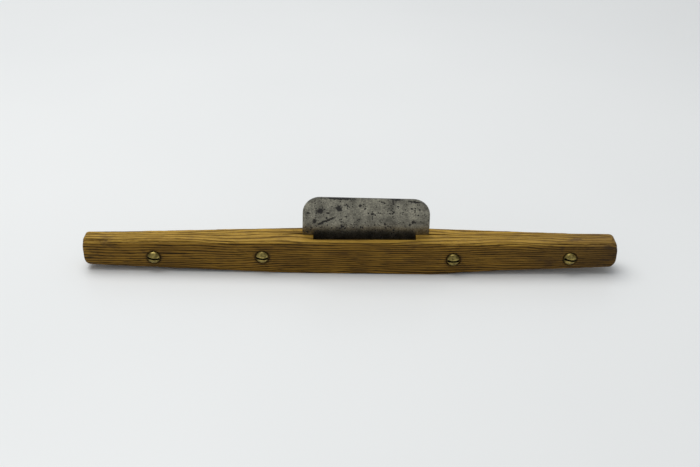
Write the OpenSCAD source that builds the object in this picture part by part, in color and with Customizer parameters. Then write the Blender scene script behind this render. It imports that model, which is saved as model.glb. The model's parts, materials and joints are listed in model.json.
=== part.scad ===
// Scraper spokeshave: a two-piece oak stock that clamps an upright steel scraper plate.
// X runs along the stock (right hand positive), -Y is the front with the screw heads, +Z is up.
// The origin is on the sole, at the middle of the length, in the seam between the two halves.

/* [Stock] */
// Length of the stock from end to end
stock_len = 291; // [250:1:340]
// Height of the stock at the blade
stock_h = 19.8; // [17:0.1:24]
// Depth of the front half at the blade's right side, from the seam to the front face
front_d = 9.5; // [8.5:0.1:13]
// How much shallower the front half is at the blade's left side
front_skew = 0.7; // [0:0.1:1.5]
// Depth of the rear half at the blade, from the seam to the back face
rear_d = 7.9; // [6.8:0.1:12]
// Radius worn on the long edges at the blade
edge_r = 0.8; // [0.4:0.1:1.5]
// How far the flat of the sole runs past the blade on the left
sole_past_left = 12; // [4:1:20]
// How far the flat of the sole runs past the blade on the right
sole_past_right = 4; // [2:1:20]

/* [Left handle] */
// Depth of the front half at the left end
left_front_d = 6.3; // [6:0.1:8]
// Depth of the rear half at the left end
left_rear_d = 5.5; // [5.2:0.1:7]
// How far the underside has risen at the left end
left_rise = 2.1; // [0:0.1:4]
// How far the top has dropped at the left end
left_drop = 0.5; // [0:0.1:2]
// Radius of the front edges at the left end
left_front_r = 2; // [0.8:0.1:3]
// Radius of the back edges at the left end
left_rear_r = 3.8; // [0.8:0.1:5]
// Rounding of the left end's rim
left_rim_r = 1.4; // [0.5:0.1:3]

/* [Right handle] */
// Depth of the front half at the right end
right_front_d = 8.2; // [6.4:0.1:9]
// Depth of the rear half at the right end
right_rear_d = 5.3; // [5:0.1:7]
// How far the underside has risen at the right end
right_rise = 3.5; // [2:0.1:5]
// How far the top has dropped at the right end
right_drop = 0.3; // [0:0.1:2]
// Radius of the front edges at the right end
right_front_r = 1.8; // [0.8:0.1:3]
// Radius of the back edges at the right end
right_rear_r = 4.6; // [0.8:0.1:5]
// Rounding of the right end's rim
right_rim_r = 4.2; // [0.5:0.1:5]
// Length of the steeper stretch of the underside next to the sole
shoulder_len = 34; // [8:1:50]
// How far the underside rises over that stretch
shoulder_rise = 1.9; // [0.2:0.1:2]

/* [Blade] */
// Width of the scraper plate
blade_w = 71; // [62:1:84]
// Height of the scraper plate
blade_h = 42.2; // [34:0.2:50]
// Thickness of the scraper plate
blade_t = 1.2; // [0.8:0.1:2]
// How far the blade's middle lies to the right of the stock's middle
blade_x = 7.9; // [0:0.1:15]
// How far the cutting edge is drawn up into the sole
blade_up = 0.3; // [0:0.1:1]
// Radius of the ground top corners
blade_corner_r = 9.5; // [4:0.5:11]
// Radius of the small bottom corners
blade_foot_r = 1; // [0.5:0.1:2]
// How far the right end of the top edge falls below the left end
blade_fall = 1.4; // [0:0.1:2]
// How far the left side leans in at the top
blade_left_in = 2.4; // [0:0.1:3]
// How far the right side leans in at the top
blade_right_in = 0; // [0:0.1:2]
// Height of the bevel ground on the back of the scraping edge
blade_bevel = 0.8; // [0.3:0.1:1.5]

/* [Throat and relief] */
// Width of the throat notch
throat_w = 56; // [44:1:60]
// Depth of the throat notch from the seam
throat_d = 5.5; // [4.6:0.1:6.5]
// How far the notch's middle lies to the right of the blade's middle
throat_right = 0.2; // [-2:0.1:2]
// Clearance of the blade in its relief, on each face
blade_fit = 0.02; // [0.01:0.01:0.05]
// Clearance at each end of the blade in its relief
blade_end_fit = 0.3; // [0.1:0.1:1]
// Length over which the relief runs out on the left
relief_left = 19; // [8:0.5:20]
// Length over which the relief runs out on the right
relief_right = 22; // [8:0.5:24]

/* [Screws] */
// Diameter of the screw heads
head_d = 7.4; // [6:0.1:9]
// Height of the screw heads
head_h = 2.7; // [2:0.1:3.5]
// Width of the slot in the heads
slot_w = 1; // [0.6:0.1:1.4]
// Depth of the slot in the heads
slot_h = 1.4; // [0.8:0.1:1.6]
// Diameter of the plain shank
shank_d = 3.8; // [3:0.1:4.5]
// Diameter of the threaded end
thread_d = 3.4; // [2.6:0.1:3.6]
// Length under the head
screw_len = 12; // [11:0.1:12.6]
// Length of the plain shank under the head
shank_len = 7; // [4:0.5:9]
// Length of the tapered point
point_len = 3; // [1.5:0.5:4]
// Depth of the shallow seats under the heads
seat_h = 0.6; // [0.3:0.1:1]
// Gap round the heads in their seats
seat_gap = 0.5; // [0.2:0.1:1]
// Radial clearance of the screws in their holes
hole_fit = 0.08; // [0.05:0.01:0.1]
// Distance of the outer left screw from the left end
outer_left_in = 38.5; // [25:0.5:45]
// Distance of the outer right screw from the right end
outer_right_in = 25.5; // [15:0.5:35]
// Distance of the inner left screw from the blade's left side
inner_left_out = 20; // [16:0.5:30]
// Distance of the inner right screw from the blade's right side
inner_right_out = 13; // [10:0.5:25]
// Height of the outer left, inner left, inner right and outer right screws above the sole
screw_z = [8.8, 10, 9.5, 10]; // [7:0.1:12]
// Turn of each slot from level, in the same order
slot_turn = [-8, -3, 2, -9]; // [-90:1:90]

/* [Hidden] */
$fn = 64;
past = 1;
corner_steps = 6;
rim_steps = 6;
least_r = 0.3;

blade_left = blade_x - blade_w / 2;
blade_right = blade_x + blade_w / 2;
end_left = -stock_len / 2;
end_right = stock_len / 2;
waist_left = blade_left - blade_end_fit;
waist_right = blade_right + blade_end_fit;
sole_left = waist_left - sole_past_left;
sole_right = waist_right + sole_past_right;
shoulder_right = sole_right + shoulder_len;
screw_x = [end_left + outer_left_in, blade_left - inner_left_out, blade_right + inner_right_out,
    end_right - outer_right_in];

// Depths, heights and edge radii change evenly from the blade's sides towards each end.
function front_at(x) = lookup(x, [[end_left, left_front_d], [waist_left, front_d - front_skew],
    [waist_right, front_d], [end_right, right_front_d]]);
function rear_at(x) = lookup(x, [[end_left, left_rear_d], [waist_left, rear_d],
    [waist_right, rear_d], [end_right, right_rear_d]]);
function bottom_at(x) = lookup(x, [[end_left, left_rise], [sole_left, 0],
    [sole_right, 0], [shoulder_right, shoulder_rise], [end_right, right_rise]]);
function top_at(x) = lookup(x, [[end_left, stock_h - left_drop], [waist_left, stock_h],
    [waist_right, stock_h], [end_right, stock_h - right_drop]]);
function front_r_at(x) = lookup(x, [[end_left, left_front_r], [waist_left, edge_r],
    [waist_right, edge_r], [end_right, right_front_r]]);
function rear_r_at(x) = lookup(x, [[end_left, left_rear_r], [waist_left, edge_r],
    [waist_right, edge_r], [end_right, right_rear_r]]);

// One rounded corner of a cross-section, as points in Y and Z.
function corner(y, z, r, start) = [for (i = [0:corner_steps])
    let (a = start + 90 * i / corner_steps) [y + r * cos(a), z + r * sin(a)]];

// The cross-section of the stock at x, drawn in from its outline by inset, as points in Y and Z.
function section(x, inset) = let (
        front = -front_at(x) + inset,
        rear = rear_at(x) - inset,
        low = bottom_at(x) + inset,
        high = top_at(x) - inset,
        rf = max(front_r_at(x) - inset, least_r),
        rr = max(rear_r_at(x) - inset, least_r))
    concat(corner(rear - rr, high - rr, rr, 0), corner(front + rf, high - rf, rf, 90),
        corner(front + rf, low + rf, rf, 180), corner(rear - rr, low + rr, rr, 270));

// Places along the stock, each with how far its section is drawn in. The rims are quarter circles.
left_rim = [for (i = [0:rim_steps]) let (a = 90 * i / rim_steps)
    [end_left + left_rim_r * (1 - sin(a)), left_rim_r * (1 - cos(a))]];
right_rim = [for (i = [0:rim_steps]) let (a = 90 * i / rim_steps)
    [end_right - right_rim_r * (1 - sin(a)), right_rim_r * (1 - cos(a))]];
stations = concat([for (i = [rim_steps:-1:0]) left_rim[i]],
    [for (x = [sole_left, waist_left, waist_right, sole_right, shoulder_right]) [x, 0]], right_rim);

// The whole stock before it is split: a loft through the stations.
module stock_blank() {
    ring = 4 * (corner_steps + 1);
    last = len(stations) - 1;
    points = [for (s = stations) for (p = section(s[0], s[1])) [s[0], p[0], p[1]]];
    sides = [for (k = [0:last - 1]) for (i = [0:ring - 1])
        let (a = k * ring + i, b = k * ring + (i + 1) % ring)
        for (face = [[a, a + ring, b], [b, a + ring, b + ring]]) face];
    left_end = [for (i = [0:ring - 1]) i];
    right_end = [for (i = [ring - 1:-1:0]) last * ring + i];
    polyhedron(points = points, faces = concat([left_end], sides, [right_end]), convexity = 4);
}

// Everything on the +Y side of the seam, or on the other side with side = -1.
module half_space(side) {
    depth = front_d + rear_d;
    translate([end_left - past, side > 0 ? 0 : -depth, -past])
        cube([stock_len + 2 * past, depth, stock_h + 2 * past]);
}

// The shallow relief in the rear half: as deep as the blade, running out to nothing each side.
module relief() {
    deep = blade_t + 2 * blade_fit;
    translate([0, 0, -past])
        linear_extrude(stock_h + 2 * past)
            polygon([[waist_left - relief_left, 0], [waist_left - relief_left, -past],
                [waist_right + relief_right, -past], [waist_right + relief_right, 0],
                [waist_right, deep], [waist_left, deep]]);
}

// The notch in the front half through which the shavings rise.
module throat() {
    translate([blade_x + throat_right - throat_w / 2, -throat_d, -past])
        cube([throat_w, throat_d + past, stock_h + 2 * past]);
}

// Where the underside of a head rests, measured from the seam.
function seat_y(i) = seat_h - front_at(screw_x[i]);

// Moves what is drawn along +Z to lie along screw i, with z = 0 under its head and +Z inwards.
module at_screw(i) {
    translate([screw_x[i], seat_y(i), screw_z[i]]) rotate([-90, 0, 0]) children();
}

// The clearance hole and head seat of screw i.
module screw_hole(i) {
    at_screw(i) {
        cylinder(d = shank_d + 2 * hole_fit, h = front_d);
        translate([0, 0, -seat_h - past]) cylinder(d = head_d + 2 * seat_gap, h = seat_h + past);
    }
}

// The pilot hole of screw i, which follows the screw's threaded end and point, and its plain shank
// where that reaches past the seam.
module pilot_hole(i) {
    mouth = -seat_y(i);
    at_screw(i) {
        cylinder(d = shank_d + 2 * hole_fit, h = shank_len + hole_fit);
        translate([0, 0, mouth - past])
            cylinder(d = thread_d + 2 * hole_fit, h = screw_len - point_len - mouth + past);
        translate([0, 0, screw_len - point_len - hole_fit])
            cylinder(d1 = thread_d + 2 * hole_fit, d2 = 2 * hole_fit, h = point_len + 2 * hole_fit);
    }
}

module rear_stock() {
    color("peru")
        difference() {
            intersection() {
                stock_blank();
                half_space(1);
            }
            relief();
            for (i = [0:3]) pilot_hole(i);
        }
}

module front_stock() {
    color("sienna")
        difference() {
            intersection() {
                stock_blank();
                half_space(-1);
            }
            throat();
            for (i = [0:3]) screw_hole(i);
        }
}

// The outline of the plate: ground top corners and nearly square bottom corners.
module blade_outline() {
    outline = [[0, 0], [blade_w, 0], [blade_w - blade_right_in, blade_h - blade_fall],
        [blade_left_in, blade_h]];
    intersection() {
        offset(r = blade_corner_r) offset(delta = -blade_corner_r)
            polygon([outline[0] - [0, blade_h], outline[1] - [0, blade_h], outline[2], outline[3]]);
        offset(r = blade_foot_r) offset(delta = -blade_foot_r) polygon(outline);
    }
}

module scraper_blade() {
    color("slategray")
        translate([blade_left, blade_fit, blade_up])
            difference() {
                translate([0, blade_t, 0]) rotate([90, 0, 0]) linear_extrude(blade_t) blade_outline();
                // the bevel behind the scraping edge
                translate([-past, blade_t, 0])
                    rotate([0, 90, 0])
                        linear_extrude(blade_w + 2 * past)
                            polygon([[-blade_bevel, past], [-blade_bevel, 0], [0, -blade_bevel],
                                [past, -blade_bevel], [past, past]]);
            }
}

// A slotted round-head wood screw, drawn with its head below z = 0 and its point up.
module wood_screw(turn) {
    dome_r = (pow(head_d / 2, 2) + pow(head_h, 2)) / (2 * head_h);
    difference() {
        union() {
            intersection() {
                translate([0, 0, dome_r - head_h]) sphere(dome_r);
                translate([0, 0, -head_h - past]) cylinder(d = head_d, h = head_h + past);
            }
            cylinder(d = shank_d, h = shank_len);
            cylinder(d = thread_d, h = screw_len - point_len);
            translate([0, 0, screw_len - point_len])
                cylinder(d1 = thread_d, d2 = 0, h = point_len);
        }
        rotate([0, 0, turn])
            translate([-head_d, -slot_w / 2, -head_h - past]) cube([2 * head_d, slot_w, slot_h + past]);
    }
}

module screw(i) {
    color("darkgoldenrod") at_screw(i) wood_screw(slot_turn[i]);
}

rear_stock();
front_stock();
scraper_blade();
screw(0);  // screw_outer_left
screw(1);  // screw_inner_left
screw(2);  // screw_inner_right
screw(3);  // screw_outer_right
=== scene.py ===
# %% [markdown]
# # A scraper spokeshave in old oak, pitted steel and brass
# The model is packed already, so this lesson starts from its fixed frame: seven solids at their
# real size, in metres. Here they get finer shapes, their finishes, a floor, soft light and a
# camera.

# %% Load the frame
import json
import math

import bpy
from mathutils import Matrix, Vector


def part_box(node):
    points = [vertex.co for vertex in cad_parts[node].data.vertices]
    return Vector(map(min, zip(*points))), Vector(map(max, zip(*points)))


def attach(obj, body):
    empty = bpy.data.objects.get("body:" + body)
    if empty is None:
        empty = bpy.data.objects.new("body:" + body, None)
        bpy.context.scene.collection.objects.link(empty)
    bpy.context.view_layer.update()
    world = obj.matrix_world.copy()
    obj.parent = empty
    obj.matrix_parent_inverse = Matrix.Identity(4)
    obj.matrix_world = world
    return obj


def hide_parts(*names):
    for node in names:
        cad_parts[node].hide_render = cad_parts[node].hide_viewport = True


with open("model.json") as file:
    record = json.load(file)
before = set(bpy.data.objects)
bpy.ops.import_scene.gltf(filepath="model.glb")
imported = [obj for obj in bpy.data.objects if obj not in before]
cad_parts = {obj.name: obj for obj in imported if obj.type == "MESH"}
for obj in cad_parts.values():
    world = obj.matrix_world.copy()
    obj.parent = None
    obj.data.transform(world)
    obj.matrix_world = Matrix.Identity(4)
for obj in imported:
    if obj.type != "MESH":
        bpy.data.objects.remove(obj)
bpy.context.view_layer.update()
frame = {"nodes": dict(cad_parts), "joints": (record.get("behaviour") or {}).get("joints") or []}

MM = 0.001

# %% [markdown]
# Shapes and finishes below are node trees, and writing each node by hand is long. So one small
# helper puts a node in a tree: an input takes a number, a colour or the output of another node.


# %% A helper for node trees
class Nodes:
    """Puts nodes in one tree. A value may be a number, a vector or another node's output."""

    def __init__(self, tree):
        self.tree = tree

    def set(self, socket, value):
        if isinstance(value, bpy.types.NodeSocket):
            self.tree.links.new(value, socket)
        elif value is not None:
            socket.default_value = value

    def put(self, kind, inputs=(), out=0, **settings):
        node = self.tree.nodes.new(kind)
        for name, value in settings.items():
            setattr(node, name, value)
        pairs = inputs.items() if isinstance(inputs, dict) else enumerate(inputs)
        for key, value in pairs:
            self.set(node.inputs[key], value)
        return node.outputs[out]

    def math(self, operation, a, b=None, c=None):
        return self.put("ShaderNodeMath", (a, b, c), operation=operation)

    def add(self, a, b):
        return self.math("ADD", a, b)

    def subtract(self, a, b):
        return self.math("SUBTRACT", a, b)

    def multiply(self, a, b):
        return self.math("MULTIPLY", a, b)

    def vector(self, operation, a, b=None):
        out = 1 if operation in ("LENGTH", "DISTANCE", "DOT_PRODUCT") else 0
        return self.put("ShaderNodeVectorMath", (a, b), out, operation=operation)

    def split(self, vector):
        node = self.tree.nodes.new("ShaderNodeSeparateXYZ")
        self.set(node.inputs[0], vector)
        return node.outputs[0], node.outputs[1], node.outputs[2]

    def join(self, x, y, z):
        return self.put("ShaderNodeCombineXYZ", (x, y, z))

    def fade(self, value, low, high, start=0.0, end=1.0, smooth=False):
        """Turns low..high into start..end, clamped at both ends."""
        kind = "SMOOTHSTEP" if smooth else "LINEAR"
        return self.put("ShaderNodeMapRange", (value, low, high, start, end), interpolation_type=kind)

    def follow(self, place, *stops):
        """The value at a place along straight lines between the stops, (place, value) each."""
        value = stops[0][1]
        for (start, _), (stop, level) in zip(stops, stops[1:]):
            value = self.fade(place, start, stop, value, level)
        return value

    def noise(self, vector, scale=1.0, detail=2.0, rough=0.5):
        inputs = {"Vector": vector, "Scale": scale, "Detail": detail, "Roughness": rough}
        return self.put("ShaderNodeTexNoise", inputs)

    def drawn(self, vector, stretch, detail=2.0, rough=0.5):
        """Noise with its own scale along X, Y and Z: a small scale draws it out that way."""
        return self.noise(self.vector("MULTIPLY", vector, stretch), 1.0, detail, rough)

    def attribute(self, name):
        return self.put("ShaderNodeAttribute", out=2, attribute_name=name)

    def blend(self, share, a, b):
        """Mixes two colours: share 0 gives a, 1 gives b."""
        node = self.tree.nodes.new("ShaderNodeMix")
        node.data_type = "RGBA"
        for socket, value in zip((node.inputs[0], node.inputs[6], node.inputs[7]), (share, a, b)):
            self.set(socket, value)
        return node.outputs[2]


def colour(red, green, blue):
    return (red, green, blue, 1.0)


def new_finish(name):
    """An empty material: its node helper, its surface shader and the place in mm."""
    finish = bpy.data.materials.new(name)
    finish.use_nodes = True
    nodes = Nodes(finish.node_tree)
    surface = finish.node_tree.nodes["Principled BSDF"]
    place_mm = nodes.vector("SCALE", nodes.put("ShaderNodeTexCoord", out=3))
    place_mm.node.inputs["Scale"].default_value = 1 / MM
    return finish, nodes, surface, place_mm


# %% [markdown]
# Ring-porous oak shows its growth rings as rows of open pores, which hold dirt. A picture of wood
# would have to be wrapped round the stock. A solid texture needs no wrapping and keeps the rows in
# line on the front, the top and the end grain: the rings are circles round the heart of the tree,
# far outside the piece, and the pores are noise drawn out along the stock.

# %% Rows of pores
RING_MM = 1.32
RINGS_WANDER = (7.0, 0.8)
LONG_GRAIN = (0.010, 0.045, 0.045)
RIPPLE = (0.05, 0.35, 0.35)
FINE_PORES = (0.045, 2.3, 2.3)
STRAY_PORES = (0.12, 2.9, 2.9)
LEAST_PORE = 0.38
STRAY_DEPTH = 0.7


def pore_rows(n, place, shifted, heart_y, heart_z):
    """How open the pores are, 0 to 1, in rings round the heart of the tree (mm)."""
    _, y, z = n.split(place)
    from_heart = n.vector("LENGTH", n.join(0.0, n.subtract(y, heart_y), n.subtract(z, heart_z)))
    rings = n.math("DIVIDE", from_heart, RING_MM)
    rings = n.add(rings, n.multiply(n.drawn(shifted, LONG_GRAIN), RINGS_WANDER[0]))
    rings = n.add(rings, n.multiply(n.drawn(shifted, RIPPLE), RINGS_WANDER[1]))
    phase = n.math("FRACT", rings)
    rise = n.fade(phase, 0.0, 0.14, smooth=True)
    fall = n.fade(phase, 0.30, 0.52, 1.0, 0.0, smooth=True)
    open_pore = n.fade(n.drawn(shifted, FINE_PORES, 3.0, 0.6), 0.40, 0.54, smooth=True)
    open_pore = n.math("MULTIPLY_ADD", open_pore, 1 - LEAST_PORE, LEAST_PORE)
    pores = n.multiply(n.multiply(rise, fall), open_pore)
    stray = n.fade(n.drawn(shifted, STRAY_PORES, 2.0, 0.6), 0.62, 0.72, smooth=True)
    return n.math("MAXIMUM", pores, n.multiply(stray, STRAY_DEPTH))


print("oak rings every", RING_MM, "mm")

# %% [markdown]
# Hands and dirt colour old oak as much as its age does. The dirt sits on both handles, painted shade
# darkens the right end more, and the oak is darker in a ring round each screw head.

# %% Dirt and painted shade on the oak
SCREW_PLACES = [Vector(j["pos_m"]) / MM for j in frame["joints"] if j["type"] == "hinge"]
GRIME = (0.11, 0.30, 0.30)
HANDLES = (95.0, 145.0)
RIGHT_END_SHADE = (70.0, 142.0, 0.55)
HEAD_RING = (4.6, 6.8, 0.80)
RING_RAGGED = 2.4


def oak_dirt_and_shade(n, place, grime_noise, heads):
    """How dark the oak is made, 0 to 1: dirt on the handles, painted shade growing towards the right end and
    a dark ring round each screw head. heads are the screws with the ring.
    """
    x, _, z = n.split(place)
    hold = n.fade(n.math("ABSOLUTE", x), *HANDLES, smooth=True)
    dirt_and_shade = n.multiply(n.fade(grime_noise, 0.50, 0.68, smooth=True), n.fade(hold, 0.0, 1.0, 0.35, 0.75))
    # Painted shade: the oak grows darker towards the right end.
    start, end, most = RIGHT_END_SHADE
    dirt_and_shade = n.math("MINIMUM", n.add(dirt_and_shade, n.fade(x, start, end, 0.0, most, smooth=True)), 1.0)
    # The oak is made darker in a ring round each screw head.
    inner, outer, most = HEAD_RING
    for spot in heads:
        away = n.vector("LENGTH", n.join(n.subtract(x, spot.x), 0.0, n.subtract(z, spot.z)))
        ragged = n.add(away, n.multiply(grime_noise, RING_RAGGED))
        dirt_and_shade = n.math("MAXIMUM", dirt_and_shade, n.fade(ragged, inner, outer, most, 0.0, smooth=True))
    return dirt_and_shade


print("screws at X", [round(spot.x, 1) for spot in SCREW_PLACES])

# %% [markdown]
# The faces that look up get paler colours than the front: painted light on the top and painted shade on
# the front. So each colour is a pair, front and top, and the way a face looks mixes the pair. The long
# edges have an attribute from the tree that grows the shape, and are painted pale in spots: partly wear,
# partly a painted highlight.

# %% Oak
# Each pair below is a shaded front copy and a lit top copy of one colour: painted shade and painted light.
OAK_NEW = (colour(0.275, 0.143, 0.016), colour(0.450, 0.265, 0.038))
OAK_OLD = (colour(0.150, 0.072, 0.008), colour(0.310, 0.172, 0.021))
OAK_FIBRE = (colour(0.36, 0.205, 0.030), colour(0.56, 0.37, 0.085))
OAK_PORE = (colour(0.004, 0.002, 0.001), colour(0.060, 0.030, 0.006))
OAK_DIRT_AND_SHADE = (colour(0.055, 0.030, 0.011), colour(0.15, 0.085, 0.026))
OAK_WEAR_AND_HIGHLIGHT = colour(0.46, 0.33, 0.13)
FIBRES = (0.10, 5.0, 5.0)
CLOUDS = (0.045, 0.16, 0.16)
WEAR_AND_HIGHLIGHT_SPOTS = (0.20, 0.9, 0.9)


def oak(name, heart_y, heart_z, drift, heads):
    """Old oiled oak. The heart is the middle of the tree, in mm, and drift moves the pattern."""
    finish, n, surface, place = new_finish(name)
    shifted = n.vector("ADD", place, (drift, drift, 0.0))
    pores = pore_rows(n, place, shifted, heart_y, heart_z)
    fibre = n.drawn(shifted, FIBRES, 2.0, 0.7)
    cloud = n.drawn(shifted, CLOUDS, 4.0, 0.6)
    # Faces that look up take the top colour of each pair and weaker pores: painted light on the top, painted
    # shade on the front.
    facing_up = n.split(n.put("ShaderNodeTexCoord", out=1))[2]
    painted_top_light = n.fade(facing_up, 0.25, 0.8, smooth=True)
    front = n.blend(n.fade(cloud, 0.36, 0.66), OAK_NEW[0], OAK_OLD[0])
    top = n.blend(n.fade(cloud, 0.35, 0.65), OAK_NEW[1], OAK_OLD[1])
    wood = n.blend(n.fade(fibre, 0.35, 0.75, 0.0, 0.38), n.blend(painted_top_light, front, top), n.blend(painted_top_light, *OAK_FIBRE))
    wood = n.blend(n.multiply(pores, n.fade(painted_top_light, 0.0, 1.0, 1.0, 0.78)), wood, n.blend(painted_top_light, *OAK_PORE))
    grime_noise = n.drawn(shifted, GRIME, 5.0, 0.65)
    # Dirt on the handles, painted shade on the right end and the rings round the heads darken the wood.
    wood = n.blend(oak_dirt_and_shade(n, place, grime_noise, heads), wood, n.blend(painted_top_light, *OAK_DIRT_AND_SHADE))
    # Pale spots along the long edges: partly wear, partly a painted highlight on the rounded arris.
    spots = n.fade(n.drawn(shifted, WEAR_AND_HIGHLIGHT_SPOTS, 4.0, 0.7), 0.42, 0.66, 0.0, 0.75, smooth=True)
    wood = n.blend(n.multiply(n.attribute("edge_wear_and_highlight"), spots), wood, OAK_WEAR_AND_HIGHLIGHT)
    n.set(surface.inputs["Base Color"], wood)
    n.set(surface.inputs["Roughness"], n.fade(pores, 0.0, 1.0, 0.52, 0.85))
    surface.inputs["Specular IOR Level"].default_value = 0.13
    height = n.math("MULTIPLY_ADD", pores, -1.0, n.multiply(fibre, 0.25))
    height = n.math("MULTIPLY_ADD", grime_noise, 0.7, height)
    bump = n.put("ShaderNodeBump", {"Height": height, "Distance": 0.3 * MM, "Strength": 1.0})
    n.set(surface.inputs["Normal"], bump)
    return finish


oak_front = oak("oak_front", 46.0, 128.0, 0.0, SCREW_PLACES)
oak_rear = oak("oak_rear", -60.0, 150.0, 77.0, [])
print("finishes", oak_front.name, oak_rear.name)

# %% [markdown]
# Old tool steel is grey and half polished, so it still mirrors the bench, and it is covered with
# fine rust pits. Small pits are cells of a Voronoi texture, because a cell has a clear round edge
# where noise has none. The few black stains that stand out are ovals placed one by one, and a noise
# frays their edges.

# %% Pits and stains in the steel
# Black stains on the plate: X, Z, half length, half height and slope, in mm and degrees.
STAINS = [
    (-22.5, 33.1, 0.8, 0.5, 0), (-16.2, 34.3, 1.9, 1.3, 20), (-19.1, 28.0, 0.9, 1.5, -20),
    (-15.6, 26.8, 2.4, 0.55, 26), (-12.0, 28.4, 2.2, 0.6, 25), (-9.3, 29.8, 1.8, 0.5, 22),
    (-12.5, 29.6, 0.4, 1.1, 10), (-5.8, 35.9, 1.3, 1.9, 35), (-11.9, 33.1, 0.7, 0.5, 0),
    (-4.6, 27.6, 0.5, 0.4, 0), (12.2, 32.6, 0.7, 0.7, 0), (19.0, 26.4, 0.8, 0.6, -30),
    (34.7, 27.6, 1.0, 0.8, -30), (32.8, 26.0, 0.6, 0.5, 0), (18.6, 39.2, 0.5, 0.4, 0),
    (-5.8, 42.0, 6.0, 0.7, -1), (25.0, 41.4, 2.8, 0.5, -2), (35.0, 40.0, 2.8, 0.5, -6),
    (5.5, 37.6, 0.6, 0.8, 0),
]
PIT_SCALE = 0.78
PIT_RADIUS = (0.06, 0.50)
FRAYED = 4.2
APART = Vector((31.0, 0.0, 7.0))
HIGHER = Vector((0.0, 0.0, 50.0))


def rust_pits(n, place):
    """How deep the fine pits are, 0 to 1: small cells, more and larger ones in patches."""
    cells = n.put("ShaderNodeTexVoronoi", {"Vector": place, "Scale": PIT_SCALE, "Randomness": 1.0})
    radius = n.fade(n.noise(n.vector("ADD", place, HIGHER), 0.45), 0.36, 0.66, *PIT_RADIUS)
    dense = n.fade(n.noise(n.vector("ADD", place, APART), 0.085), 0.42, 0.60, 0.55, 1.0)
    return n.fade(n.subtract(n.multiply(radius, dense), cells), -0.03, 0.06, smooth=True)


def black_stain(n, x, z, fray, spot):
    """How black one stain is, 0 to 1: an oval, turned by its slope, with a frayed edge."""
    spot_x, spot_z, half_length, half_height, slope = spot
    cosine, sine = math.cos(math.radians(slope)), math.sin(math.radians(slope))
    dx, dz = n.subtract(x, spot_x), n.subtract(z, spot_z)
    along = n.add(n.multiply(dx, cosine), n.multiply(dz, sine))
    across = n.subtract(n.multiply(dz, cosine), n.multiply(dx, sine))
    oval = n.join(n.math("DIVIDE", along, half_length), 0.0, n.math("DIVIDE", across, half_height))
    reach = n.add(n.vector("LENGTH", oval), fray)
    return n.fade(reach, 0.75, 1.5, 0.92, 0.0, smooth=True)


print("stains on the steel", len(STAINS))

# %% Steel
STEEL = (colour(0.120, 0.114, 0.092), colour(0.420, 0.398, 0.312))
STEEL_SPECK = colour(0.065, 0.062, 0.055)
STEEL_STAIN = colour(0.016, 0.014, 0.013)


def old_steel():
    finish, n, surface, place = new_finish("pitted_steel")
    x, _, z = n.split(place)
    speck = n.noise(place, 1.15, 3.0, 0.70)
    tone = n.blend(n.fade(n.noise(place, 0.16, 5.0, 0.62), 0.34, 0.66), *STEEL)
    tone = n.blend(n.fade(speck, 0.42, 0.62, 0.55, 0.0), tone, STEEL_SPECK)
    stained = rust_pits(n, place)
    fray = n.multiply(n.subtract(n.noise(place, 0.9, 3.0, 0.6), 0.5), FRAYED)
    for spot in STAINS:
        stained = n.math("MAXIMUM", stained, black_stain(n, x, z, fray, spot))
    n.set(surface.inputs["Base Color"], n.blend(stained, tone, STEEL_STAIN))
    n.set(surface.inputs["Metallic"], n.fade(stained, 0.0, 1.0, 0.92, 0.15))
    rough = n.fade(n.add(stained, n.multiply(speck, 0.5)), 0.15, 1.2, 0.27, 0.75)
    n.set(surface.inputs["Roughness"], rough)
    height = n.math("MULTIPLY_ADD", stained, -1.0, n.multiply(speck, 0.22))
    bump = n.put("ShaderNodeBump", {"Height": height, "Distance": 0.06 * MM, "Strength": 0.8})
    n.set(surface.inputs["Normal"], bump)
    return finish


steel = old_steel()
print("finish", steel.name)

# %% [markdown]
# Old brass is olive brown where nothing rubs it and yellow where hands and screwdrivers do. Two
# noises mix the tarnish into the metal, and the tarnished places are rougher. The slots are painted
# almost black as painted shade, and their faces have an attribute from the tree of the screw that marks them.

# %% Brass
BRASS = (colour(0.155, 0.120, 0.036), colour(0.500, 0.390, 0.125))
BRASS_GRIT = colour(0.040, 0.030, 0.014)
SLOT_SHADE = colour(0.006, 0.005, 0.004)


def old_brass():
    finish, n, surface, place = new_finish("tarnished_brass")
    film = n.noise(place, 0.55, 4.0, 0.6)
    grit = n.noise(place, 3.2, 3.0, 0.7)
    tone = n.blend(n.fade(film, 0.36, 0.64), *BRASS)
    tone = n.blend(n.fade(grit, 0.30, 0.52, 0.75, 0.0), tone, BRASS_GRIT)
    # Painted shade: the slot faces are made almost black.
    tone = n.blend(n.fade(n.attribute("slot_shade"), 0.1, 0.7), tone, SLOT_SHADE)
    n.set(surface.inputs["Base Color"], tone)
    surface.inputs["Metallic"].default_value = 1.0
    n.set(surface.inputs["Roughness"], n.fade(n.add(film, grit), 0.7, 1.3, 0.50, 0.24))
    bump = n.put("ShaderNodeBump", {"Height": grit, "Distance": 0.05 * MM, "Strength": 0.6})
    n.set(surface.inputs["Normal"], bump)
    return finish


brass = old_brass()
print("finish", brass.name)

# %% [markdown]
# The solids are exact but plain: their long edges are facets. The halves and the screws follow
# rules, so Geometry Nodes trees grow finer ones in the same place. Each tree has named sizes, and
# one small function runs a tree and keeps the plain mesh.


# %% Grow a piece from a tree
def named_inputs(tree, sizes):
    """Adds a number input for each size, one for the finish, and returns the sockets by name."""
    for name, value in sizes.items():
        socket = tree.interface.new_socket(name, in_out="INPUT", socket_type="NodeSocketFloat")
        socket.default_value = value
    tree.interface.new_socket("Finish", in_out="INPUT", socket_type="NodeSocketMaterial")
    tree.interface.new_socket("Geometry", in_out="OUTPUT", socket_type="NodeSocketGeometry")
    given = tree.nodes.new("NodeGroupInput")
    return {socket.name: socket for socket in given.outputs if socket.name}


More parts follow.
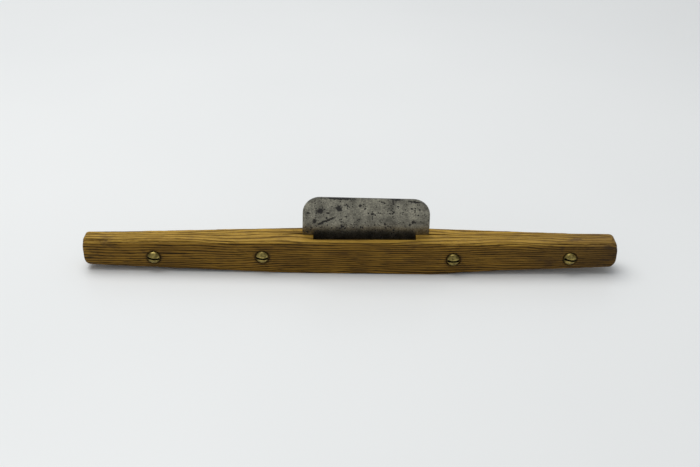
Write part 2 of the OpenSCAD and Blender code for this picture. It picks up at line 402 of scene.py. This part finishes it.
def finish_tree(n, mesh, material):
    """The last nodes of every tree: smooth faces, real geometry and the finish."""
    mesh = n.put("GeometryNodeSetShadeSmooth", {"Geometry": mesh})
    mesh = n.put("GeometryNodeRealizeInstances", {"Geometry": mesh})
    mesh = n.put("GeometryNodeSetMaterial", {"Geometry": mesh, "Material": material})
    n.tree.links.new(mesh, n.tree.nodes.new("NodeGroupOutput").inputs[0])


def grow(name, tree, values, finish, stands_for, body, crease):
    """Runs the tree with these values and puts the mesh in the place of a solid."""
    seed = bpy.data.objects.new(name + "_seed", bpy.data.meshes.new(name + "_seed"))
    bpy.context.scene.collection.objects.link(seed)
    modifier = seed.modifiers.new("tree", "NODES")
    modifier.node_group = tree
    for item in tree.interface.items_tree:
        if item.in_out == "INPUT":
            modifier[item.identifier] = finish if item.name == "Finish" else float(values[item.name])
    grown = seed.evaluated_get(bpy.context.evaluated_depsgraph_get())
    mesh = bpy.data.meshes.new_from_object(grown)
    seed.modifiers.clear()
    bpy.data.objects.remove(seed)
    mesh.set_sharp_from_angle(angle=math.radians(crease))
    piece = bpy.data.objects.new(name, mesh)
    bpy.context.scene.collection.objects.link(piece)
    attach(piece, body)
    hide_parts(stands_for)
    print(name, len(mesh.polygons), "faces")
    return piece


# %% [markdown]
# A tree also stores an attribute that its finish reads, and cuts one mesh out of another. The
# manifold way of cutting is used, because it leaves a closed mesh also where a hole meets a face
# that is not quite flat.


# %% Two steps that the trees share
def store(n, mesh, name, value):
    """Keeps a number at each point under a name that a material can read."""
    kept = n.put("GeometryNodeStoreNamedAttribute", {"Geometry": mesh, "Name": name},
                 data_type="FLOAT", domain="POINT")
    n.set(kept.node.inputs["Value"], value)
    return kept


def combine(n, operation, mesh, others):
    """Cuts the other meshes out of the mesh, or with UNION and no mesh joins them."""
    boolean = n.tree.nodes.new("GeometryNodeMeshBoolean")
    boolean.operation = operation
    boolean.solver = "MANIFOLD"
    if mesh is not None:
        n.tree.links.new(mesh, boolean.inputs["Mesh 1"])
    for other in others:
        n.tree.links.new(other, boolean.inputs["Mesh 2"])
    return boolean.outputs["Mesh"]


# %% [markdown]
# Each half of the stock starts as a block of small cells, from -1 to 1 each way. Along the block
# the depth, the height and the edge radius follow straight lines between a few places, and each
# cell moves to its place on that section. A loft through curves would make the same outline, but
# not the different edges in front and at the seam.

# %% Sizes of the stock, in mm
rear_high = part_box("rear_stock")[1] / MM
front_low, front_high = (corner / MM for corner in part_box("front_stock"))
blade_low, blade_high = (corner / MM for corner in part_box("scraper_blade"))
END = front_high.x
HEIGHT = front_high.z
WAIST = (blade_low.x - 0.3, blade_high.x + 0.3)
SOLE = (WAIST[0] - 12.0, WAIST[1] + 4.0)
SHOULDER = (SOLE[1] + 34.0, 1.9)
RISE = (2.1, 3.5)
DROP = (0.5, 0.3)
RIM = (2.4, 3.4)
RIM_SHARE = 0.05
RIM_DEEP = 0.35
END_ROUND = 1.1
LEAST_EDGE = 0.3
MOST_EDGE = 0.48
SEAM_EDGE = 0.12
RELIEF_RUN = (19.0, 22.0)
CELLS = (430, 22, 40)
HALVES = {
    "front": {"Side": -1, "Left depth": 6.3, "Waist left": -front_low.y - 0.7, "Waist right": -front_low.y,
              "Right depth": 8.2, "Left edge": 3.4, "Waist edge": 0.8, "Right edge": 2.8, "Relief": 0.0,
              "Scoop": 1.25},
    "rear": {"Side": 1, "Left depth": 5.5, "Waist left": rear_high.y, "Waist right": rear_high.y,
             "Right depth": 5.3, "Left edge": 3.8, "Waist edge": 0.8, "Right edge": 4.6, "Relief": 1.24,
             "Scoop": 0.0},
}
print("stock", round(2 * END, 1), "by", round(HEIGHT, 1), "mm")

# %% [markdown]
# The rims at both ends are quarter circles: near an end, equal steps along the block become equal
# turns. The depth is taken in less than the height there, because the real ends are sawn square
# and only their corners are rounded off.


# %% The course along the stock
def stock_course(n, size, u):
    """Place, depth, bottom, top, edge radius and relief at u, from -1 to 1 along the stock."""
    left_turn = n.fade(u, -1.0, RIM_SHARE - 1.0, math.pi / 2, 0.0)
    right_turn = n.fade(u, 1.0 - RIM_SHARE, 1.0, 0.0, math.pi / 2)
    x = n.fade(u, RIM_SHARE - 1.0, 1.0 - RIM_SHARE, RIM[0] - END, END - RIM[1])
    x = n.subtract(x, n.multiply(n.math("SINE", left_turn), RIM[0]))
    x = n.add(x, n.multiply(n.math("SINE", right_turn), RIM[1]))
    inset = n.add(n.multiply(n.subtract(1.0, n.math("COSINE", left_turn)), RIM[0]),
                  n.multiply(n.subtract(1.0, n.math("COSINE", right_turn)), RIM[1]))
    deep = n.follow(x, (-END, size["Left depth"]), (WAIST[0], size["Waist left"]),
                    (WAIST[1], size["Waist right"]), (END, size["Right depth"]))
    deep = n.subtract(deep, n.multiply(inset, RIM_DEEP))
    low = n.follow(x, (-END, RISE[0]), (SOLE[0], 0.0), (SOLE[1], 0.0), SHOULDER, (END, RISE[1]))
    low = n.add(low, inset)
    high = n.follow(x, (-END, HEIGHT - DROP[0]), (WAIST[0], HEIGHT), (WAIST[1], HEIGHT),
                    (END, HEIGHT - DROP[1]))
    high = n.subtract(high, inset)
    edge = n.follow(x, (-END, size["Left edge"]), (WAIST[0], size["Waist edge"]),
                    (WAIST[1], size["Waist edge"]), (END, size["Right edge"]))
    edge = n.math("MULTIPLY_ADD", inset, END_ROUND, n.subtract(edge, inset))
    most = n.math("MINIMUM", n.multiply(n.subtract(high, low), MOST_EDGE), n.multiply(deep, 2 * MOST_EDGE))
    edge = n.math("MINIMUM", n.math("MAXIMUM", edge, LEAST_EDGE), most)
    relief = n.follow(x, (WAIST[0] - RELIEF_RUN[0], 0.0), (WAIST[0], 1.0), (WAIST[1], 1.0),
                      (WAIST[1] + RELIEF_RUN[1], 0.0))
    return x, deep, low, high, edge, n.multiply(size["Relief"], relief)


# %% [markdown]
# On a section, a point near a corner is pulled in to a circle round the corner's centre. Hands and
# work have rubbed the long edges unevenly, so a noise pulls some stretches in a little more. Right
# of the throat, thumbs have worn a shallow scoop in the front edge.

# %% The tree of a half
SCOOP_X = 54.5
SCOOP_REACH = (1.0, 6.5)
WEAR = (0.03, 0.34)
UNEVEN = 0.16


def half_tree(kind):
    tree = bpy.data.node_groups.new("oak half " + kind, "GeometryNodeTree")
    n = Nodes(tree)
    size = named_inputs(tree, HALVES[kind])

    def gather(value):
        """Moves the cells closer together near both edges."""
        square = n.math("POWER", n.math("ABSOLUTE", value), 2.0)
        return n.multiply(value, n.subtract(1.35, n.multiply(square, 0.35)))

    block = n.put("GeometryNodeMeshCube", {"Size": (2, 2, 2), "Vertices X": CELLS[0],
                                           "Vertices Y": CELLS[1], "Vertices Z": CELLS[2]})
    u, v, w = n.split(n.put("GeometryNodeInputPosition"))
    x, outer, low, high, edge, relief = stock_course(n, size, u)
    out_share = n.fade(gather(n.multiply(v, size["Side"])), -1.0, 1.0)
    up_share = n.fade(gather(w), -1.0, 1.0)
    deep = n.add(relief, n.multiply(n.subtract(outer, relief), out_share))
    z = n.add(low, n.multiply(n.subtract(high, low), up_share))
    outside = n.math("GREATER_THAN", out_share, 0.5)
    radius = n.add(SEAM_EDGE, n.multiply(outside, n.subtract(edge, SEAM_EDGE)))

    core_deep = n.math("MAXIMUM", deep, n.add(relief, SEAM_EDGE))
    core_deep = n.math("MINIMUM", core_deep, n.subtract(outer, edge))
    core_z = n.math("MINIMUM", n.math("MAXIMUM", z, n.add(low, radius)), n.subtract(high, radius))
    off_deep, off_z = n.subtract(deep, core_deep), n.subtract(z, core_z)
    longest = n.math("MAXIMUM", n.math("ABSOLUTE", off_deep), n.math("ABSOLUTE", off_z))
    shortest = n.math("MINIMUM", n.math("ABSOLUTE", off_deep), n.math("ABSOLUTE", off_z))
    reach = n.math("MAXIMUM", n.vector("LENGTH", n.join(0.0, off_deep, off_z)), MM)
    corner = n.multiply(outside, n.math("DIVIDE", shortest, n.math("MAXIMUM", longest, MM)))
    wear_noise = n.noise(n.join(n.multiply(x, 0.09), n.multiply(z, 0.03), size["Side"]), 1.0, 3.0, 0.6)
    wear = n.multiply(corner, n.fade(wear_noise, 0.35, 0.75, *WEAR))
    pull = n.subtract(n.math("DIVIDE", longest, reach), wear)
    deep = n.add(core_deep, n.multiply(off_deep, pull))
    z = n.add(core_z, n.multiply(off_z, pull))

    from_top = n.vector("LENGTH", n.join(0.0, n.subtract(outer, deep), n.subtract(high, z)))
    from_bottom = n.vector("LENGTH", n.join(0.0, n.subtract(outer, deep), n.subtract(z, low)))
    # Near the top and bottom edges: wear and a painted highlight, for the oak's finish.
    edge_wear_and_highlight = n.math("MAXIMUM", n.fade(from_top, 0.2, 2.6, 1.0, 0.0, True),
                    n.fade(from_bottom, 0.2, 2.0, 0.7, 0.0, True))
    scoop = n.fade(n.math("ABSOLUTE", n.subtract(x, SCOOP_X)), *SCOOP_REACH, 1.0, 0.0, True)
    scoop = n.multiply(n.multiply(scoop, size["Scoop"]), n.fade(from_top, 0.4, 4.0, 1.0, 0.0, True))
    uneven = n.noise(n.join(n.multiply(x, 0.05), n.multiply(z, 0.16), n.multiply(deep, 0.16)))
    uneven = n.multiply(n.fade(uneven, 0.3, 0.8, 0.0, UNEVEN), n.fade(z, 0.2, 2.0, 0.0, 1.0))
    deep = n.subtract(deep, n.add(n.multiply(scoop, 0.75), n.multiply(outside, uneven)))
    z = n.subtract(z, n.add(n.multiply(scoop, 0.55), n.multiply(uneven, n.fade(up_share, 0.6, 1.0))))

    place = n.vector("MULTIPLY", n.join(x, n.multiply(deep, size["Side"]), z), (MM, MM, MM))
    mesh = n.put("GeometryNodeSetPosition", {"Geometry": block, "Position": place})
    mesh = store(n, mesh, "edge_wear_and_highlight", edge_wear_and_highlight)
    finish_tree(n, cut_half(n, mesh, kind), size["Finish"])
    return tree


# %% [markdown]
# The throat and the screw holes are cut last, as on the bench. Each is a cutter that runs a little
# past the wood. The cutters are joined first, because a hole and its seat share a stretch. The
# front half gets wide holes with shallow seats for the heads, the rear half narrow ones for the
# threads.

# %% Cutters for the throat and the screw holes
SEAT_WIDE, SEAT_DEEP = 8.4, 0.6
SHANK_HOLE = 3.96
PILOT_WIDE, PILOT_END = 3.56, 9.08
THROAT_X = 8.1
THROAT_SIZE = Vector((56.0, 5.5, HEIGHT))
PAST = 1.0


def hole_cutter(n, spot, width, start, end):
    """A round cutter along Y at a screw, from y = start to y = end, in mm."""
    rod = n.put("GeometryNodeMeshCylinder", {"Vertices": 48, "Radius": width / 2 * MM,
                                             "Depth": (end - start) * MM})
    middle = Vector((spot.x, (start + end) / 2, spot.z)) * MM
    return n.put("GeometryNodeTransform", {"Geometry": rod, "Translation": middle,
                                           "Rotation": (math.pi / 2, 0.0, 0.0)})


def throat_cutter(n):
    box = n.put("GeometryNodeMeshCube", {"Size": (THROAT_SIZE + Vector((0.0, PAST, 2 * PAST))) * MM})
    middle = Vector((THROAT_X, (PAST - THROAT_SIZE.y) / 2, HEIGHT / 2)) * MM
    return n.put("GeometryNodeTransform", {"Geometry": box, "Translation": middle})


def cut_half(n, mesh, kind):
    if kind == "front":
        cutters = [throat_cutter(n)]
        for spot in SCREW_PLACES:
            cutters.append(hole_cutter(n, spot, SHANK_HOLE, spot.y - PAST / 2, PAST))
            cutters.append(hole_cutter(n, spot, SEAT_WIDE, spot.y - SEAT_DEEP - 2 * PAST, spot.y))
    else:
        cutters = [hole_cutter(n, spot, PILOT_WIDE, -PAST, spot.y + PILOT_END) for spot in SCREW_PLACES]
    flat_faces = n.put("GeometryNodeTriangulate", {"Mesh": mesh})
    return combine(n, "DIFFERENCE", flat_faces, [combine(n, "UNION", None, cutters)])


# %% Both halves
CREASE_OAK = 50
front_half = grow("front_oak", half_tree("front"), HALVES["front"], oak_front, "front_stock",
                  "front_half", CREASE_OAK)
rear_half = grow("rear_oak", half_tree("rear"), HALVES["rear"], oak_rear, "rear_stock",
                 "rear_half", CREASE_OAK)

# %% [markdown]
# The plate is flat with ground corners, and its solid is exact, so it only gets its finish.

# %% Finish the plate
plate = frame["nodes"]["scraper_blade"]
plate.data.materials.clear()
plate.data.materials.append(steel)
print("plate", plate.name)

# %% [markdown]
# A round-head wood screw is a turned shape. So its tree rolls up a grid: one way round the axis,
# the other way down the outline from the crown to the point. The thread is a ridge that climbs
# one pitch in each turn, and a box cuts the slot.

# %% Sizes of a screw, in mm
SCREW = {"Head width": 7.4, "Head height": 2.7, "Slot width": 1.0, "Slot depth": 1.4, "Shank width": 3.8,
         "Thread width": 3.4, "Thread depth": 0.42, "Pitch": 1.6, "X": 0.0, "Y": 0.0, "Z": 0.0, "Turn": 0.0}
SHANK_END, POINT_START, POINT_END = 7.0, 9.0, 12.0
AROUND, ALONG = 56, 150
DOME_SHARE, FACE_SHARE, NECK_SHARE, POINT_SHARE = 0.26, 0.33, 0.55, 0.80
STEP_SHARE, STEP = 0.02, 0.1
MERGE = 0.004
SLOT_LENGTH = 20.0
print("screw head", SCREW["Head width"], "mm")


# %% The outline of a screw
def screw_outline(n, size, t):
    """Radius and place along the axis at t, from 0 at the crown to 1 at the point."""
    half_head = n.multiply(size["Head width"], 0.5)
    half_shank = n.multiply(size["Shank width"], 0.5)
    half_thread = n.multiply(size["Thread width"], 0.5)
    quarter = n.fade(t, 0.0, DOME_SHARE, 0.0, math.pi / 2)
    crown_r = n.multiply(half_head, n.math("SINE", quarter))
    crown_y = n.multiply(size["Head height"], n.multiply(n.math("COSINE", quarter), -1.0))
    thread_share = NECK_SHARE + STEP_SHARE
    body_r = n.follow(t, (DOME_SHARE, half_head), (FACE_SHARE, half_shank), (NECK_SHARE, half_shank),
                      (thread_share, half_thread), (POINT_SHARE, half_thread), (1.0, 0.0))
    body_y = n.follow(t, (FACE_SHARE, 0.0), (NECK_SHARE, SHANK_END), (thread_share, SHANK_END + STEP),
                      (POINT_SHARE, POINT_START), (1.0, POINT_END))
    on_dome = n.math("LESS_THAN", t, DOME_SHARE)
    on_body = n.subtract(1.0, on_dome)
    r = n.add(n.multiply(on_dome, crown_r), n.multiply(on_body, body_r))
    y = n.add(n.multiply(on_dome, crown_y), n.multiply(on_body, body_y))
    return r, y


def thread_groove(n, size, t, y, angle):
    """How deep the thread is cut at a place and an angle round the axis."""
    climb = n.subtract(n.math("DIVIDE", y, size["Pitch"]), n.math("DIVIDE", angle, 2 * math.pi))
    groove = n.math("PINGPONG", n.math("FRACT", climb), 0.5)
    groove = n.multiply(n.fade(groove, 0.12, 0.40, 0.0, 1.0, True), size["Thread depth"])
    groove = n.multiply(groove, n.math("GREATER_THAN", t, NECK_SHARE))
    return n.multiply(groove, n.fade(t, 0.9, 1.0, 1.0, 0.0))


# %% The tree of a screw
def slot_shade_points(n, size):
    """1 at the points that lie in the slot, measured along the turned slot."""
    turned = n.put("ShaderNodeVectorRotate", {"Vector": n.put("GeometryNodeInputPosition"), "Axis": (0, 1, 0),
                                              "Angle": n.multiply(size["Turn"], -1.0)})
    _, depth_at, across = n.split(turned)
    half_slot = n.add(n.multiply(size["Slot width"], 0.5), 0.01)
    inside = n.math("LESS_THAN", n.math("ABSOLUTE", across), half_slot)
    floor_at = n.subtract(size["Slot depth"], n.subtract(size["Head height"], 0.02))
    return n.multiply(inside, n.math("LESS_THAN", depth_at, floor_at))


def screw_tree():
    tree = bpy.data.node_groups.new("wood screw", "GeometryNodeTree")
    n = Nodes(tree)
    size = named_inputs(tree, SCREW)
    grid = n.put("GeometryNodeMeshGrid", {"Size X": 1.0, "Size Y": 1.0, "Vertices X": AROUND + 1,
                                          "Vertices Y": ALONG})
    s, t, _ = n.split(n.put("GeometryNodeInputPosition"))
    angle = n.multiply(s, -2 * math.pi)
    t = n.add(t, 0.5)
    r, y = screw_outline(n, size, t)
    r = n.math("MAXIMUM", n.subtract(r, thread_groove(n, size, t, y, angle)), 0.0)
    rolled = n.join(n.multiply(r, n.math("COSINE", angle)), y, n.multiply(r, n.math("SINE", angle)))
    mesh = n.put("GeometryNodeSetPosition", {"Geometry": grid, "Position": rolled})
    mesh = n.put("GeometryNodeMergeByDistance", {"Geometry": mesh, "Distance": MERGE})

    box = n.put("GeometryNodeMeshCube", {"Size": n.join(SLOT_LENGTH, size["Slot depth"], size["Slot width"])})
    slot_y = n.subtract(n.multiply(size["Slot depth"], 0.5), size["Head height"])
    slot = n.put("GeometryNodeTransform", {"Geometry": box, "Translation": n.join(0.0, slot_y, 0.0),
                                           "Rotation": n.join(0.0, size["Turn"], 0.0)})
    mesh = combine(n, "DIFFERENCE", mesh, [slot])
    # Marks the slot faces for their painted shade.
    mesh = store(n, mesh, "slot_shade", slot_shade_points(n, size))
    mesh = n.put("GeometryNodeTransform", {"Geometry": mesh,
                                           "Translation": n.join(size["X"], size["Y"], size["Z"])})
    mesh = n.put("GeometryNodeTransform", {"Geometry": mesh, "Scale": (MM, MM, MM)})
    finish_tree(n, mesh, size["Finish"])
    return tree


# %% Four screws
SLOT_TURNS = (-8.0, -3.0, 2.0, -9.0)
SCREW_NAMES = ("outer_left", "inner_left", "inner_right", "outer_right")
CREASE_BRASS = 35
one_screw = screw_tree()
for name, spot, turn in zip(SCREW_NAMES, SCREW_PLACES, SLOT_TURNS):
    values = dict(SCREW, X=spot.x, Y=spot.y, Z=spot.z, Turn=-math.radians(turn))
    screw = grow(name + "_brass", one_screw, values, brass, "screw_" + name, name + "_screw", CREASE_BRASS)

# %% [markdown]
# The tool lies on a plain pale floor, which runs on past the view. A little gloss in the floor
# gives the faint mirror image under the tool.

# %% Floor
FLOOR_HALF = 3.0
FLOOR_COLOURS = (colour(0.80, 0.81, 0.80), colour(0.86, 0.865, 0.85))


def make_floor():
    mesh = bpy.data.meshes.new("floor")
    corners = [(-FLOOR_HALF, -FLOOR_HALF, 0), (FLOOR_HALF, -FLOOR_HALF, 0),
               (FLOOR_HALF, FLOOR_HALF, 0), (-FLOOR_HALF, FLOOR_HALF, 0)]
    mesh.from_pydata(corners, [], [(0, 1, 2, 3)])
    floor = bpy.data.objects.new("floor", mesh)
    bpy.context.scene.collection.objects.link(floor)
    finish, n, surface, place = new_finish("floor_paint")
    n.set(surface.inputs["Base Color"], n.blend(n.noise(place, 0.004), *FLOOR_COLOURS))
    surface.inputs["Roughness"].default_value = 0.32
    surface.inputs["Specular IOR Level"].default_value = 0.35
    mesh.materials.append(finish)
    return floor


make_floor()
print("floor is", 2 * FLOOR_HALF, "m wide")

# %% [markdown]
# One broad lamp hangs above and a little behind the tool, on the left, as in a light tent. So the
# top is bright, the front is dim, and the shadow is soft and falls towards the camera. The room
# itself gives even light, and only the camera sees its walls as white.

# %% Light
LAMP_PLACE = Vector((-0.35, 0.26, 1.27))
LAMP_WIDE = 1.3
LAMP_WATTS = 13.2
ROOM_LIGHT = 0.46
ROOM_COLOUR = colour(0.93, 0.96, 1.0)
WALL_COLOUR = colour(0.82, 0.83, 0.82)


def hang_lamp():
    data = bpy.data.lights.new("lamp_above", "AREA")
    data.shape = "DISK"
    data.size = LAMP_WIDE
    data.energy = LAMP_WATTS
    lamp = bpy.data.objects.new("lamp_above", data)
    bpy.context.scene.collection.objects.link(lamp)
    lamp.location = LAMP_PLACE
    lamp.rotation_euler = (-LAMP_PLACE).to_track_quat("-Z", "Y").to_euler()


def light_room():
    world = bpy.data.worlds.new("room")
    bpy.context.scene.world = world
    world.use_nodes = True
    n = Nodes(world.node_tree)
    seen = n.put("ShaderNodeLightPath", out=0)
    glow = world.node_tree.nodes["Background"]
    n.set(glow.inputs["Color"], n.blend(seen, ROOM_COLOUR, WALL_COLOUR))
    n.set(glow.inputs["Strength"], n.fade(seen, 0.0, 1.0, ROOM_LIGHT, 1.0))


hang_lamp()
light_room()
print("lamp", LAMP_WATTS, "W")

# %% [markdown]
# The camera stands in front of the tool, 30 degrees above the level, with a 50 mm lens. The
# picture is turned by a third of a degree, so the right end lies a little lower.

# %% Camera
CAMERA_UP = math.radians(30.0)
CAMERA_AWAY = 0.5313
CAMERA_ROLL = math.radians(0.3)
AIM = Vector((0.00016, 0.0, 0.0204))


def make_camera():
    data = bpy.data.cameras.new("camera")
    data.lens = 50.0
    data.sensor_width = 36.0
    camera = bpy.data.objects.new("camera", data)
    bpy.context.scene.collection.objects.link(camera)
    back = Vector((0.0, -math.cos(CAMERA_UP), math.sin(CAMERA_UP)))
    place = Matrix.Translation(AIM + back * CAMERA_AWAY)
    look = (-back).to_track_quat("-Z", "Y").to_matrix().to_4x4()
    camera.matrix_world = place @ look @ Matrix.Rotation(CAMERA_ROLL, 4, "Z")
    bpy.context.scene.camera = camera
    return camera


camera = make_camera()
bpy.context.scene.view_settings.view_transform = "Standard"
print("camera at", [round(v, 3) for v in camera.matrix_world.translation])
